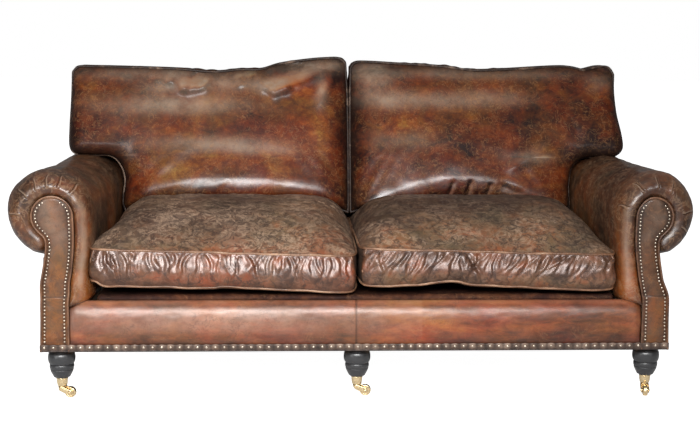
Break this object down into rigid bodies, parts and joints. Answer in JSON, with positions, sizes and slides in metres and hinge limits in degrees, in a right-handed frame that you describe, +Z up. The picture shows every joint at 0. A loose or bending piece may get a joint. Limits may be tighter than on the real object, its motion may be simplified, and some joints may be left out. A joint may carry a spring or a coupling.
{
  "type": "leather sofa",
  "caption": "Scroll-arm leather sofa with loose seat cushions, eared back cushions, studded front edges and turned front legs on swivelling brass castors.",
  "frame": {"origin": "on the floor, under the middle of the sofa's bounding box", "axes": "+X to the right of someone facing the sofa, along its width; -Y out of its front; +Z up"},
  "size_m": [2.135, 0.99, 1.02],
  "materials": {
    "arm_leather": "satin, worn, dark brown with tan rubbed edges",
    "facing_leather": "satin, rubbed tan at the neck and plinth",
    "back_leather": "satin, red-brown with amber patina",
    "seat_leather": "dull, cracked and scuffed olive brown",
    "border_leather": "glossy reddish tan",
    "trim_leather": "dull grey brown",
    "beech": "planed, unfinished",
    "ebonised_wood": "satin black",
    "brass": "worn polish",
    "spring_steel": "oiled",
    "black_cloth": "matt woven"
  },
  "bodies": {
    "sofa": {"back_seat_rail": "beech", "back_tack_rail": "beech", "back_top_rail": "beech", "back_trim_band": "trim_leather", "centre_back_post": "beech", "centre_castor_cup": "brass", "centre_cross_rail": "beech", "centre_front_leg": "ebonised_wood", "centre_rear_leg": "ebonised_wood", "dust_cover": "black_cloth", "front_border": "border_leather", "front_rail": "beech", "front_trim_band": "trim_leather", "inside_back": "back_leather", "left_arm": "arm_leather", "left_arm_facing": "facing_leather", "left_arm_rail": "beech", "left_back_cushion": "back_leather", "left_back_post": "beech", "left_castor_cup": "brass", "left_front_leg": "ebonised_wood", "left_front_post": "beech", "left_outside_arm": "arm_leather", "left_rear_leg": "ebonised_wood", "left_rear_stump": "beech", "left_seat_cushion": "seat_leather", "left_side_rail": "beech", "left_trim_band": "trim_leather", "outside_back": "arm_leather", "right_arm": "arm_leather", "right_arm_facing": "facing_leather", "right_arm_rail": "beech", "right_back_cushion": "back_leather", "right_back_post": "beech", "right_castor_cup": "brass", "right_front_leg": "ebonised_wood", "right_front_post": "beech", "right_outside_arm": "arm_leather", "right_rear_leg": "ebonised_wood", "right_rear_stump": "beech", "right_seat_cushion": "seat_leather", "right_side_rail": "beech", "right_trim_band": "trim_leather", "seat_deck": "seat_leather", "seat_spring_1": "spring_steel", "seat_spring_2": "spring_steel", "seat_spring_3": "spring_steel", "seat_spring_4": "spring_steel", "seat_spring_5": "spring_steel", "seat_spring_6": "spring_steel"},
    "left_castor": {"left_castor_horn": "brass", "left_castor_axle": "brass"},
    "left_wheel": {"left_castor_wheel": "brass"},
    "centre_castor": {"centre_castor_horn": "brass", "centre_castor_axle": "brass"},
    "centre_wheel": {"centre_castor_wheel": "brass"},
    "right_castor": {"right_castor_horn": "brass", "right_castor_axle": "brass"},
    "right_wheel": {"right_castor_wheel": "brass"}
  },
  "joints": [
    {"name": "left_castor_swivel", "type": "hinge", "parent": "sofa", "child": "left_castor", "pos_m": [-0.9225, -0.4335, 0.038], "axis": [0, 0, 1], "continuous": true},
    {"name": "left_wheel_roll", "type": "hinge", "parent": "left_castor", "child": "left_wheel", "pos_m": [-0.8963, -0.44003, 0.0175], "axis": [0.2419, 0.9703, 0], "continuous": true},
    {"name": "centre_castor_swivel", "type": "hinge", "parent": "sofa", "child": "centre_castor", "pos_m": [0, -0.4335, 0.038], "axis": [0, 0, 1], "continuous": true},
    {"name": "centre_wheel_roll", "type": "hinge", "parent": "centre_castor", "child": "centre_wheel", "pos_m": [0.02685, -0.43632, 0.0175], "axis": [0.1045, 0.9945, 0], "continuous": true},
    {"name": "right_castor_swivel", "type": "hinge", "parent": "sofa", "child": "right_castor", "pos_m": [0.9225, -0.4335, 0.038], "axis": [0, 0, 1], "continuous": true},
    {"name": "right_wheel_roll", "type": "hinge", "parent": "right_castor", "child": "right_wheel", "pos_m": [0.91781, -0.46009, 0.0175], "axis": [0.9848, -0.1736, 0], "continuous": true}
  ]
}
